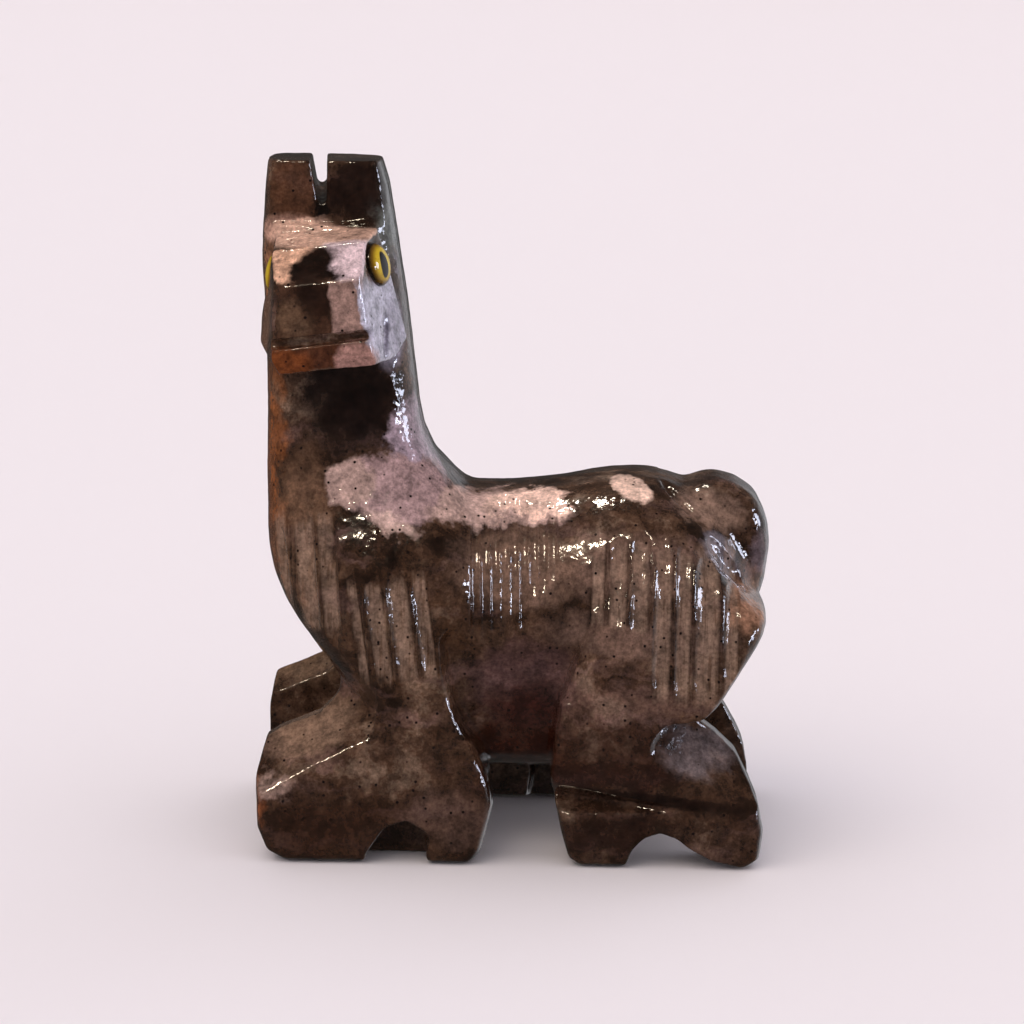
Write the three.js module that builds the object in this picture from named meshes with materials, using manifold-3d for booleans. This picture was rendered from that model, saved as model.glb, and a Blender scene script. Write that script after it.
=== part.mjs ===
// A llama carved from one block of polished stone, with two inlaid glass eyes.
// It kneels with its legs folded under it, its neck upright and its head turned to its left.
// Millimetres. +Z is up, -X is the way the chest faces, -Y is the animal's left side.
// The origin is at the middle of the footprint, on the surface it stands on.
import * as THREE from 'three';
import { mergeVertices } from 'three/addons/utils/BufferGeometryUtils.js';
import Module from 'manifold-3d';

const wasm = await Module();
wasm.setup();

// Driving dimensions of the block that the figure is sawn from.
const HEIGHT = 49.6;
const THICKNESS = 22;

// Neck and chest.
const NECK_FRONT = -18.2;
const EAR_TOP = HEIGHT;
const EAR_FACE_DEPTH = 3.6;
const EAR_SLOT = { right: -13.82, width: 1.1, foot: 0.55, bottom: 46.5, skew: 0.06, rise: 0.11 };
const EAR_SLOPE = 0.9;

// Head: where its middle is, how far it tips to one side and how far it turns to the front.
const HEAD = { x: -13.05, z: 40, tilt: 7.8, turn: 5.6 };
const MUZZLE = THICKNESS / 2 - 0.35;
const MOUTH = { z: 37.75, length: 7.4, width: 0.6, depth: 0.8 };

// Eyes: a domed cabochon in a drilled socket. The right one is sunk deeper than the left.
const EYE = { radius: 1.5, dome: 0.7, seat: 0.75, gap: 0.28, height: 1.75 };
const EYES = [
  { name: 'eye_left', side: 1, depth: 5.8, lean: 16, lift: 8, sink: 0.1 },
  { name: 'eye_right', side: -1, depth: 5.6, lean: 7, lift: 16, sink: 0.5 },
];

// Legs, in pairs, and the channel sawn between them.
const LEG_FACE = THICKNESS / 2 - 0.1;
const LEG_INNER = 4.4;
const CHANNEL = { topHalf: 5, footHalf: 6.1, top: 14, length: 44 };
const BELLY = 5;

// File cuts of the fleece.
const GROOVE = { half: 0.5, lift: 0.13 };
const RIB_GROOVE = { half: 0.3, lift: 0.05 };

// Outline of a loft's section: an ellipse with squared shoulders.
function squircle(angle, power) {
  const c = Math.cos(angle);
  const s = Math.sin(angle);
  return [Math.sign(c) * Math.abs(c) ** (2 / power), Math.sign(s) * Math.abs(s) ** (2 / power)];
}

// Smooth value of each column of a table of stations at the place t, given in the first column.
function between(stations, t) {
  const last = stations.length - 1;
  let i = 0;
  while (i < last - 1 && t > stations[i + 1][0]) {
    i += 1;
  }
  const [a, b] = [stations[i], stations[i + 1]];
  const u = THREE.MathUtils.clamp((t - a[0]) / (b[0] - a[0]), 0, 1);
  const before = stations[Math.max(i - 1, 0)];
  const after = stations[Math.min(i + 2, last)];
  const span = b[0] - a[0];
  return a.map((value, k) => {
    const slopeA = i === 0 ? (b[k] - value) / span : (b[k] - before[k]) / (b[0] - before[0]);
    const slopeB = i + 1 === last ? (b[k] - value) / span : (after[k] - value) / (after[0] - a[0]);
    const u2 = u * u;
    const u3 = u2 * u;
    return (2 * u3 - 3 * u2 + 1) * value + (u3 - 2 * u2 + u) * span * slopeA
      + (-2 * u3 + 3 * u2) * b[k] + (u3 - u2) * span * slopeB;
  });
}

// A closed solid through sections: place(t, c, s, row) gives the point of a section's outline.
// The last column of the table is the section's squareness.
function loft(stations, around, along, place) {
  const geometry = new THREE.CylinderGeometry(1, 1, 1, around, along);
  const position = geometry.attributes.position;
  const from = stations[0][0];
  const to = stations[stations.length - 1][0];
  for (let i = 0; i < position.count; i += 1) {
    const t = from + (to - from) * (position.getY(i) + 0.5);
    const radius = Math.hypot(position.getX(i), position.getZ(i));
    const angle = Math.atan2(position.getZ(i), position.getX(i));
    const row = between(stations, t);
    const [c, s] = squircle(angle, row[row.length - 1]);
    const point = place(t, c * radius, s * radius, row);
    position.setXYZ(i, point[0], point[1], point[2]);
  }
  return geometry;
}

// Manifold solid of a closed geometry, turned right way out if its faces point in.
function solid(geometry) {
  const bare = geometry.clone();
  for (const name of Object.keys(bare.attributes)) {
    if (name !== 'position') bare.deleteAttribute(name);
  }
  const merged = mergeVertices(bare, 1e-4);
  const vertProperties = new Float32Array(merged.attributes.position.array);
  const triVerts = new Uint32Array(merged.index.array);
  if (signedVolume(vertProperties, triVerts) < 0) {
    for (let i = 0; i < triVerts.length; i += 3) {
      [triVerts[i], triVerts[i + 1]] = [triVerts[i + 1], triVerts[i]];
    }
  }
  return new wasm.Manifold(new wasm.Mesh({ numProp: 3, vertProperties, triVerts }));
}

function signedVolume(points, triangles) {
  const [a, b, c] = [new THREE.Vector3(), new THREE.Vector3(), new THREE.Vector3()];
  let volume = 0;
  for (let i = 0; i < triangles.length; i += 3) {
    a.fromArray(points, triangles[i] * 3);
    b.fromArray(points, triangles[i + 1] * 3);
    c.fromArray(points, triangles[i + 2] * 3);
    volume += a.dot(b.cross(c));
  }
  return volume;
}

function geometryOf(manifold) {
  const mesh = manifold.getMesh();
  const geometry = new THREE.BufferGeometry();
  geometry.setAttribute('position', new THREE.BufferAttribute(mesh.vertProperties, 3));
  geometry.setIndex(new THREE.BufferAttribute(mesh.triVerts, 1));
  geometry.computeVertexNormals();
  return geometry;
}

function mirrored(geometry) {
  return geometry.clone().scale(1, -1, 1);
}

// A side outline in X and Z, sawn through the block from yOuter to yInner, its edges rounded.
function sawn(points, yOuter, yInner, bevel, roundness = bevel) {
  const shape = new THREE.Shape();
  shape.setFromPoints(points.map(([x, z]) => new THREE.Vector2(x, z)));
  const geometry = new THREE.ExtrudeGeometry(shape, {
    depth: Math.abs(yInner - yOuter) - 2 * roundness,
    bevelEnabled: true,
    bevelThickness: roundness,
    bevelSize: bevel,
    bevelOffset: -bevel,
    bevelSegments: 2,
  });
  geometry.rotateX(Math.PI / 2);
  geometry.translate(0, Math.max(yOuter, yInner) - roundness, 0);
  return geometry;
}

// Neck, chest and the block left for the ears: level sections from the knees to the ear tips.
// Columns: height, front, back, half the thickness, squareness of the section.
const NECK_SECTIONS = [
  [7.0, -9.5, -2.0, 6.0, 2.4],
  [10.4, -11.9, -1.0, 9.5, 2.4],
  [12.6, -13.2, 0.0, 10.2, 2.4],
  [15.8, -15.7, 1.0, 10.45, 2.4],
  [18.5, -17.3, 1.5, 10.45, 2.4],
  [21.3, -18.1, 1.0, 9.9, 2.4],
  [24.3, NECK_FRONT, -1.4, 8.2, 2.7],
  [27.2, NECK_FRONT, -4.9, 6.6, 3.0],
  [29.5, NECK_FRONT, -6.5, 5.8, 3.2],
  [33.9, NECK_FRONT, -7.3, 5.1, 3.4],
  [39.2, -18.4, -8.0, 4.8, 3.4],
  [43.0, -18.6, -8.6, 4.7, 3.4],
  [46.5, -18.4, -9.2, 4.5, 3.8],
  [49.0, -18.25, -9.7, 4.3, 4.2],
  [EAR_TOP, -18.15, -10.0, 4.1, 4.2],
];

function neck() {
  return loft(NECK_SECTIONS, 28, 24, (z, c, s, [, front, back, half]) => [
    (front + back) / 2 + c * (back - front) / 2,
    s * half,
    z,
  ]);
}

// Trunk: upright sections from the shoulders to the rump.
// Columns: place along X, underside, back line, half the thickness.
const TRUNK_SECTIONS = [
  [-12, 8.0, 22.0, 6.0, 2.3],
  [-9, 5.6, 24.6, 8.8, 2.3],
  [-5, BELLY, 26.0, 9.4, 2.3],
  [-1, BELLY, 26.1, 9.2, 2.3],
  [3.2, BELLY, 26.5, 9.3, 2.3],
  [6.5, 5.6, 27.05, 10.1, 2.4],
  [9.7, 6.6, 27.2, 10.3, 2.4],
  [12.2, 8.0, 26.5, 9.6, 2.4],
  [14.5, 10.6, 25.2, 7.6, 2.4],
  [16.8, 14.0, 22.8, 4.6, 2.4],
];

function trunk() {
  return loft(TRUNK_SECTIONS, 28, 18, (x, c, s, [, under, back, half]) => [
    x,
    c * half,
    (under + back) / 2 + s * (back - under) / 2,
  ]);
}

// Thigh and fold of the haunch, with its point at the rear.
const HAUNCH = [
  [2.8, 6.2], [2.9, 9.0], [3.3, 12.6], [4.3, 16.2], [6.0, 20.2], [8.6, 23.2], [11.6, 24.0], [14.4, 21.9],
  [16.6, 19.6], [18.15, 18.5], [18.1, 17.3], [16.8, 15.1], [14.9, 11.9], [13.4, 11.5], [11.6, 11.5],
  [10.4, 10.2], [9.8, 8.0], [9.6, 6.2],
];

// Tail: a rounded block that hangs over the rump.
const TAIL_HALF = 3.8;
const TAIL = [
  [11.0, 25.2], [12.9, 26.7], [14.3, 27.06], [16.0, 26.7], [17.5, 25.7], [18.4, 24.0], [18.6, 22.0],
  [18.3, 19.4], [17.6, 17.4], [15.6, 16.6], [12.0, 20.0],
];

// Front leg, folded: knee at the front, shin along the ground, shoulder above.
const FRONT_LEG = [
  [-18.36, 6.0], [-17.7, 8.4], [-16.6, 9.1], [-13.9, 10.2], [-12.7, 11.4], [-12.6, 14.0], [-11.0, 17.0],
  [-9.0, 18.4], [-7.0, 17.6], [-6.0, 15.8], [-4.4, 12.2], [-3.3, 9.7], [-2.3, 8.0], [-1.5, 6.2], [-1.2, 4.5],
  [-1.6, 2.7], [-2.1, 0.8], [-2.9, 0], [-16.2, 0], [-17.5, 0.7], [-18.2, 2.4],
];
const FAR_KNEE = [
  [-18.5, 4.0], [-18.5, 7.4], [-18.1, 9.8], [-17.0, 11.0], [-15.2, 11.4], [-12.0, 12.0], [-10.0, 9.0],
  [-12.0, 4.0],
];

// Rear leg: thigh, shank and the hock at the back.
const REAR_LEG = [
  [9.0, 12.4], [4.4, 12.6], [3.3, 12.2], [2.9, 9.3], [2.7, 6.6], [3.1, 4.8], [3.6, 2.4], [4.1, 0.6],
  [4.9, 0], [16.9, 0], [17.9, 0.7], [18.15, 2.8], [17.8, 4.6], [17.2, 6.0], [16.2, 7.9], [14.4, 9.6],
  [12.6, 11.0],
];

// The right front foot is longer than the left, and a thin web joins it to the rear leg.
const FAR_FOOT = [
  [-4.0, 5.6], [0.2, 5.2], [1.5, 3.9], [1.75, 2.0], [1.4, 0], [-4.0, 0],
];
const FAR_WEB = { from: 0.5, to: 4.6, inner: 7.2, outer: 9.8, top: 6.5 };

// Arched cuts under the feet. The front one is blind, the rear one goes through the leg.
const FRONT_NOTCH = [
  [-10.6, -1], [-10.2, 0.9], [-8.95, 2.7], [-7.5, 3.25], [-6.1, 2.5], [-5.85, 1.8], [-6.1, 0.9], [-5.8, -1],
];
const FRONT_NOTCH_DEPTH = 3.2;
const REAR_NOTCH = [
  [8.0, -1], [8.4, 0.3], [8.8, 1.4], [9.6, 2.25], [10.7, 2.6], [11.8, 2.25], [12.9, 1.4], [14.3, 0.66],
  [16.0, 0.22], [16.6, -1],
];

// Upper face of a knee: it falls outwards and towards the tip, and ends at the shin's crease.
// leftEdge and rightEdge are its heights at the tip, on the outer face.
const KNEE_TOP = { alongRise: 0.46, inwardRise: 0.86, tip: -17, leftEdge: 5.4, rightEdge: 7.4 };
const KNEE_PLAN = [
  [-20, -12.5], [-10, -12.5], [-10, -10.2], [-9.3, -8.2], [-12.2, -3.8], [-20, -3.8],
];

function kneeTopCutter(edge) {
  const plan = new THREE.Shape(KNEE_PLAN.map(([x, y]) => new THREE.Vector2(x, y)));
  const geometry = new THREE.ExtrudeGeometry(plan, { depth: 14, bevelEnabled: false });
  const lift = edge - KNEE_TOP.alongRise * KNEE_TOP.tip + KNEE_TOP.inwardRise * LEG_FACE;
  const shear = new THREE.Matrix4().set(
    1, 0, 0, 0,
    0, 1, 0, 0,
    KNEE_TOP.alongRise, KNEE_TOP.inwardRise, 1, lift,
    0, 0, 0, 1,
  );
  return geometry.applyMatrix4(shear);
}

// Facets filed on the inner edge of the right knee and on the hock.
const KNEE_FACET = { point: [-16, 5.2, 9.0], normal: [-0.3, -0.5, 0.8], size: 9 };
const HOCK_FACET = { point: [13.4, -10.8, 6.5], normal: [0.39, -0.65, 0.65], size: 9 };

// A box whose lower face is the plane through a point with the given normal.
function planeCutter({ point, normal, size }) {
  const geometry = new THREE.BoxGeometry(size, size, size);
  geometry.translate(0, 0, size / 2);
  const direction = new THREE.Vector3(...normal).normalize();
  const turn = new THREE.Quaternion().setFromUnitVectors(new THREE.Vector3(0, 0, 1), direction);
  return geometry.applyQuaternion(turn).translate(...point);
}

// Inner faces of a pair of legs lean outwards to the ground.
function channelCutter() {
  const section = new THREE.Shape([
    new THREE.Vector2(-CHANNEL.footHalf, -1),
    new THREE.Vector2(CHANNEL.footHalf, -1),
    new THREE.Vector2(CHANNEL.topHalf, CHANNEL.top),
    new THREE.Vector2(-CHANNEL.topHalf, CHANNEL.top),
  ]);
  const geometry = new THREE.ExtrudeGeometry(section, { depth: CHANNEL.length, bevelEnabled: false });
  const stand = new THREE.Matrix4().set(
    0, 0, 1, -CHANNEL.length / 2,
    1, 0, 0, 0,
    0, 1, 0, 0,
    0, 0, 0, 1,
  );
  return geometry.applyMatrix4(stand);
}

// A leg's outer face steps in between two heights, so that it runs into the shoulder.
const SHIN_STEP = { from: 6.8, to: 10, step: 0.8 };
const SHOULDER_STEP = { from: 12, to: 19, step: 1.6 };

function steppedIn(geometry, { from, to, step }) {
  const position = geometry.attributes.position;
  for (let i = 0; i < position.count; i += 1) {
    const rise = THREE.MathUtils.smoothstep(position.getZ(i), from, to);
    position.setY(i, position.getY(i) * (1 - (step / LEG_FACE) * rise));
  }
  return geometry;
}

// A side outline whose outer face is domed: it shrinks towards a point as it comes out of the trunk.
const HAUNCH_DOME = { centre: [8.6, 6.2], yInner: -3, smallest: 0.8, steps: 6 };

function domed(points, yOuter, { centre, yInner, smallest, steps }) {
  const shape = new THREE.Shape(points.map(([x, z]) => new THREE.Vector2(x, z)));
  const depth = Math.abs(yOuter - yInner);
  const geometry = new THREE.ExtrudeGeometry(shape, { depth, steps, bevelEnabled: false });
  geometry.rotateX(Math.PI / 2).translate(0, yInner, 0);
  const position = geometry.attributes.position;
  for (let i = 0; i < position.count; i += 1) {
    const t = (yInner - position.getY(i)) / depth;
    const size = smallest + (1 - smallest) * Math.sqrt(1 - t ** 3);
    position.setX(i, centre[0] + (position.getX(i) - centre[0]) * size);
    position.setY(i, yInner - depth * t ** 0.7);
    position.setZ(i, centre[1] + (position.getZ(i) - centre[1]) * size);
  }
  return geometry;
}

function frontLeg() {
  const outer = steppedIn(sawn(FRONT_LEG, -LEG_FACE, -LEG_INNER, 0.8, 1.1), SHIN_STEP);
  const block = solid(steppedIn(outer, SHOULDER_STEP));
  return block.subtract(solid(kneeTopCutter(KNEE_TOP.leftEdge)));
}

// The right knee stands higher than the left, with its inner edge taken off.
function farKnee() {
  const block = solid(sawn(FAR_KNEE, LEG_INNER, LEG_FACE, 0.6));
  const top = solid(mirrored(kneeTopCutter(KNEE_TOP.rightEdge)));
  return block.subtract(top).subtract(solid(planeCutter(KNEE_FACET)));
}

function rearLeg() {
  const block = solid(sawn(REAR_LEG, -LEG_FACE, -LEG_INNER, 0.7, 0.9));
  return block.subtract(solid(planeCutter(HOCK_FACET)));
}

function notches() {
  const outside = -THICKNESS / 2 - 1;
  const front = solid(sawn(FRONT_NOTCH, outside, -THICKNESS / 2 + FRONT_NOTCH_DEPTH, 0.05));
  const rear = solid(sawn(REAR_NOTCH, outside, -LEG_INNER + 1, 0.05));
  return front.add(rear);
}

// Deep saw cut across the left shank: a four-sided wedge that runs out to a point.
const SHANK_CUT = { start: 1.6, end: 14.6, z: 4.75, rise: 1.25, depth: 2.0, slope: 5 };

function shankCut() {
  const { start, end, z, rise, depth, slope } = SHANK_CUT;
  const geometry = new THREE.ConeGeometry(1, end - start, 4, 1);
  geometry.rotateZ(-Math.PI / 2);
  geometry.scale(1, depth, rise);
  geometry.rotateY(THREE.MathUtils.degToRad(slope));
  return geometry.translate((start + end) / 2, -LEG_FACE, z);
}

// A left-hand form and its mirror image on the right.
function pair(oneSide) {
  return oneSide.add(solid(mirrored(geometryOf(oneSide))));
}

function farFoot() {
  const { from, to, inner, outer, top } = FAR_WEB;
  const foot = solid(sawn(FAR_FOOT, CHANNEL.footHalf, LEG_FACE, 0.7));
  const web = new THREE.BoxGeometry(to - from, outer - inner, top);
  web.translate((from + to) / 2, (inner + outer) / 2, top / 2);
  return foot.add(solid(web));
}

// Head: the side profile in Y and Z.
const HEAD_PROFILE = [
  [0, 45.0], [-EAR_FACE_DEPTH, 45.0], [-5.0, 44.7], [-6.5, 44.35], [-8.0, 44.0], [-10.3, 41.6],
  [-MUZZLE, 38.0], [-MUZZLE, 36.3], [-MUZZLE + 0.5, 35.5], [-7.0, 35.3], [-4.0, 36.2], [0, 37.5],
];

// The head turns a little towards the front and tips to one side.
function headPlace() {
  const turn = new THREE.Matrix4().makeRotationZ(THREE.MathUtils.degToRad(-HEAD.turn));
  const tilt = new THREE.Matrix4().makeRotationY(THREE.MathUtils.degToRad(-HEAD.tilt));
  return new THREE.Matrix4().makeTranslation(HEAD.x, 0, HEAD.z).multiply(turn).multiply(tilt);
}

// Half the width of the block that the head is filed from, and the flat facets filed on it.
// Right side: cheek, upper cheek, jaw corner, nape. Left side: cheek, jaw corner, nape.
// Last, the two upright corners of the muzzle. A facet of OVER_HEAD runs over the whole side.
const HEAD_HALF = 5.8;
const OVER_HEAD = 18;
const HEAD_FACETS = [
  { point: [-17.6, -8.0, 38.5], normal: [-0.97, -0.23, 0.05], size: OVER_HEAD },
  { point: [-17.25, -8.0, 44.0], normal: [-0.983, -0.035, 0.177], size: OVER_HEAD },
  { point: [-18.27, -4.6, 36.4], normal: [-0.87, -0.15, -0.47], size: OVER_HEAD },
  { point: [-18.36, -4.6, 38.0], normal: [-0.95, 0.31, 0], size: OVER_HEAD },
  { point: [-10.24, -8.3, 41.8], normal: [0.92, -0.33, 0.21], size: OVER_HEAD },
  { point: [-8.54, -7.0, 36.4], normal: [0.85, -0.3, -0.45], size: OVER_HEAD },
  { point: [-8.5, -4.0, 38.5], normal: [0.86, 0.43, 0.29], size: OVER_HEAD },
  { point: [-16.3, -10.35, 40.0], normal: [-0.74, -0.67, 0.1], size: 5.4 },
  { point: [-10.75, -10.59, 40.0], normal: [0.565, -0.826, 0.205], size: 4.6 },
];

function head() {
  const shape = new THREE.Shape(HEAD_PROFILE.map(([y, z]) => new THREE.Vector2(y, z - HEAD.z)));
  const geometry = new THREE.ExtrudeGeometry(shape, { depth: 2 * HEAD_HALF, bevelEnabled: false });
  const across = new THREE.Matrix4().set(
    0, 0, 1, -HEAD_HALF,
    1, 0, 0, 0,
    0, 1, 0, 0,
    0, 0, 0, 1,
  );
  const block = solid(geometry.applyMatrix4(across).applyMatrix4(headPlace()));
  return HEAD_FACETS.reduce((filed, facet) => filed.subtract(solid(planeCutter(facet))), block);
}

// The mouth: a straight saw line across the muzzle.
function mouth() {
  const geometry = new THREE.BoxGeometry(MOUTH.length, 2 * MOUTH.depth, MOUTH.width);
  return geometry.translate(0, -MUZZLE, MOUTH.z - HEAD.z).applyMatrix4(headPlace());
}

// Slot between the ears, wider at the top and sawn a little askew, its floor rising to the back.
// Its width is the one at the ear tips.
function earSlot() {
  const { right, width, foot, bottom, skew, rise } = EAR_SLOT;
  const clear = 1;
  const top = EAR_TOP + clear;
  const flare = (width - foot) / (EAR_TOP - bottom);
  const outline = new THREE.Shape([
    new THREE.Vector2(right - width - flare * clear, top),
    new THREE.Vector2(right - foot, bottom),
    new THREE.Vector2(right, bottom),
    new THREE.Vector2(right, top),
  ]);
  const geometry = new THREE.ExtrudeGeometry(outline, { depth: THICKNESS, bevelEnabled: false });
  geometry.rotateX(Math.PI / 2).translate(0, THICKNESS / 2, 0);
  const askew = new THREE.Matrix4().set(
    1, -skew, 0, -skew * EAR_FACE_DEPTH,
    0, 1, 0, 0,
    0, rise, 1, rise * EAR_FACE_DEPTH,
    0, 0, 0, 1,
  );
  return solid(geometry.applyMatrix4(askew));
}

// Flat face in front of the ears, their tops falling to the back, and a facet on the left tip.
const EAR_FACE = { x: -14.28, width: 14, depth: 4, height: 7, from: 45.1 };
const EAR_FACET = { point: [-10.9, -3.45, 49.1], normal: [0.36, -0.89, 0.27], size: 4.4 };

function earCuts() {
  const face = new THREE.BoxGeometry(EAR_FACE.width, EAR_FACE.depth, EAR_FACE.height);
  face.translate(EAR_FACE.x, -EAR_FACE_DEPTH - EAR_FACE.depth / 2, EAR_FACE.from + EAR_FACE.height / 2);
  const slope = THREE.MathUtils.degToRad(EAR_SLOPE);
  const tips = planeCutter({
    point: [EAR_FACE.x, -EAR_FACE_DEPTH, EAR_TOP],
    normal: [0, Math.sin(slope), Math.cos(slope)],
    size: THICKNESS,
  });
  return earSlot().add(solid(face)).add(solid(tips)).add(solid(planeCutter(EAR_FACET)));
}

// Hollow of the belly between the folded legs, deeper towards the ground. Outline in X and Z.
const HOLLOW = { top: 17.2, depthPerRise: 0.3, bottom: 3.5, flank: 9.3, thickness: 6 };
const HOLLOW_OUTLINE = [
  [-5.1, 16.4], [-4.45, 12.6], [-3.5, 9.8], [-2.6, 8.1], [-1.7, 6.2], [-1.5, HOLLOW.bottom],
  [6.0, HOLLOW.bottom], [6.0, 12.6], [6.5, 18.0], [2.0, 20.4], [-2.5, 19.6],
];

function bellyHollow() {
  const outline = new THREE.Shape(HOLLOW_OUTLINE.map(([x, z]) => new THREE.Vector2(x, z)));
  const geometry = new THREE.ExtrudeGeometry(outline, { depth: HOLLOW.thickness, bevelEnabled: false });
  geometry.rotateX(Math.PI / 2);
  const position = geometry.attributes.position;
  for (let i = 0; i < position.count; i += 1) {
    const inwards = HOLLOW.depthPerRise * (HOLLOW.top - position.getZ(i));
    position.setY(i, position.getY(i) - HOLLOW.flank + inwards);
  }
  return solid(geometry);
}

// Rounded file cuts, given by the ends of each run in X and Z on the left side.
const CHEST_CUTS = [
  [-16.1, 26.0, -15.2, 17.4], [-15.4, 23.2, -14.6, 18.4], [-14.2, 25.2, -13.2, 16.0],
  [-12.7, 20.0, -12.2, 15.2],
];
const SHOULDER_CUTS = [
  [-10.7, 20.2, -10.0, 14.0], [-9.4, 21.2, -8.2, 13.8], [-8.5, 21.2, -7.5, 14.0], [-7.6, 21.4, -6.5, 14.0],
];
const RIB_CUTS = Array.from({ length: 8 }, (_, i) => {
  const x = -2.9 + i * 0.7;
  return [x, 24.9 + 0.5 * (i % 2), x, i < 6 ? 16.8 + (i % 3) * 0.6 : 19.4];
});
const HAUNCH_CUTS = [
  [6.5, 23.2, 6.4, 18.8], [8.0, 23.6, 7.9, 18.4], [9.5, 24.0, 9.4, 18.2], [10.9, 23.8, 11.0, 11.8],
  [11.9, 24.0, 12.0, 11.8], [12.9, 22.4, 13.0, 11.8], [14.9, 20.4, 14.7, 13.4],
];
const TAIL_CUTS = [
  [10.9, 26.3, 14.1, 23.4], [14.2, 25.5, 16.8, 23.6], [13.9, 22.6, 16.2, 19.9],
];
const CUT_STEPS = 5;

// Cutter along a run, laid on the surface that a probe from the side meets. It rises out at both ends.
function fileCut([x0, z0, x1, z1], groove, side, target, probe) {
  const points = [];
  const fadeFrom = 0.6;
  for (let i = 0; i <= CUT_STEPS; i += 1) {
    const t = i / CUT_STEPS;
    const x = THREE.MathUtils.lerp(x0, x1, t);
    const z = THREE.MathUtils.lerp(z0, z1, t);
    probe.set(new THREE.Vector3(x, side * THICKNESS, z), new THREE.Vector3(0, -side, 0));
    const hit = probe.intersectObject(target)[0];
    if (hit) {
      const fade = Math.max(0, Math.abs(2 * t - 1) - fadeFrom) / (1 - fadeFrom);
      const offset = groove.lift + fade * (groove.half - groove.lift);
      points.push(hit.point.clone().addScaledVector(hit.face.normal, offset));
    }
  }
  const section = new THREE.Shape([
    new THREE.Vector2(groove.half, 0), new THREE.Vector2(0, groove.half),
    new THREE.Vector2(-groove.half, 0), new THREE.Vector2(0, -groove.half),
  ]);
  const path = new THREE.CatmullRomCurve3(points);
  return new THREE.ExtrudeGeometry(section, { steps: CUT_STEPS, extrudePath: path });
}

function fleece(stone) {
  const target = new THREE.Mesh(geometryOf(stone), new THREE.MeshBasicMaterial({ side: THREE.DoubleSide }));
  const probe = new THREE.Raycaster();
  let cut = stone;
  for (const side of [-1, 1]) {
    for (const run of [...CHEST_CUTS, ...SHOULDER_CUTS, ...HAUNCH_CUTS, ...TAIL_CUTS]) {
      cut = cut.subtract(solid(fileCut(run, GROOVE, side, target, probe)));
    }
    for (const run of RIB_CUTS) {
      cut = cut.subtract(solid(fileCut(run, RIB_GROOVE, side, target, probe)));
    }
  }
  return cut;
}

// Where an eye sits: on its cheek, just below the brow, leaning forwards and up.
function eyePlace({ side, depth, sink, ...angles }, stone) {
  const lean = THREE.MathUtils.degToRad(angles.lean);
  const lift = THREE.MathUtils.degToRad(angles.lift);
  const clear = 8;
  const outward = new THREE.Vector3(side * Math.cos(lean), -Math.sin(lean), Math.sin(lift)).normalize();
  outward.transformDirection(headPlace());
  const centre = new THREE.Vector3(side * EYE.radius, -depth, EYE.height).applyMatrix4(headPlace());
  const probe = new THREE.Raycaster(centre.addScaledVector(outward, clear), outward.clone().negate());
  const target = new THREE.Mesh(geometryOf(stone), new THREE.MeshBasicMaterial());
  const hit = probe.intersectObject(target)[0];
  return { point: hit.point.addScaledVector(outward, -sink), outward };
}

function placed(geometry, { point, outward }) {
  geometry.applyQuaternion(new THREE.Quaternion().setFromUnitVectors(new THREE.Vector3(0, 1, 0), outward));
  return geometry.translate(point.x, point.y, point.z);
}

function socket(place) {
  const depth = EYE.seat + EYE.gap;
  const clear = 3;
  const radius = EYE.radius + EYE.gap;
  const geometry = new THREE.CylinderGeometry(radius, radius, depth + clear, 24);
  return solid(placed(geometry.translate(0, (clear - depth) / 2, 0), place));
}

function eye(place) {
  const profile = [new THREE.Vector2(0, -EYE.seat), new THREE.Vector2(EYE.radius, -EYE.seat)];
  const arcs = 6;
  for (let i = 0; i < arcs; i += 1) {
    const angle = (Math.PI / 2) * (i / arcs);
    profile.push(new THREE.Vector2(EYE.radius * Math.cos(angle), EYE.dome * Math.sin(angle)));
  }
  profile.push(new THREE.Vector2(0, EYE.dome));
  return placed(new THREE.LatheGeometry(profile, 20), place);
}

const channel = solid(channelCutter());
const near = frontLeg().add(rearLeg()).subtract(notches());
const legs = pair(near).add(farFoot()).add(farKnee()).subtract(channel);
const haunches = pair(solid(domed(HAUNCH, -THICKNESS / 2, HAUNCH_DOME)));
const tail = solid(sawn(TAIL, -TAIL_HALF, TAIL_HALF, 1.4, 1.8));
const core = solid(trunk()).add(solid(neck())).subtract(pair(bellyHollow()));
const body = core.add(legs.subtract(solid(shankCut()))).add(haunches).add(tail);
const headed = body.subtract(earCuts()).add(head());
const places = EYES.map((eyeSpec) => eyePlace(eyeSpec, headed));
const sockets = places.map(socket).reduce((joined, next) => joined.add(next));
const stone = fleece(headed.subtract(solid(mouth())).subtract(sockets));

const group = new THREE.Group();
const stoneMaterial = new THREE.MeshStandardMaterial({ color: 0x5a4640, roughness: 0.18, metalness: 0 });
const stoneMesh = new THREE.Mesh(geometryOf(stone), stoneMaterial);
stoneMesh.name = 'llama_stone';
group.add(stoneMesh);
EYES.forEach(({ name }, i) => {
  const eyeMaterial = new THREE.MeshStandardMaterial({ color: 0xd8b12a, roughness: 0.06, metalness: 0 });
  const mesh = new THREE.Mesh(eye(places[i]), eyeMaterial);
  mesh.name = name;
  group.add(mesh);
});

export default group;
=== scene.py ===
import math

import bpy
from mathutils import Matrix, Vector
from mathutils.bvhtree import BVHTree


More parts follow.
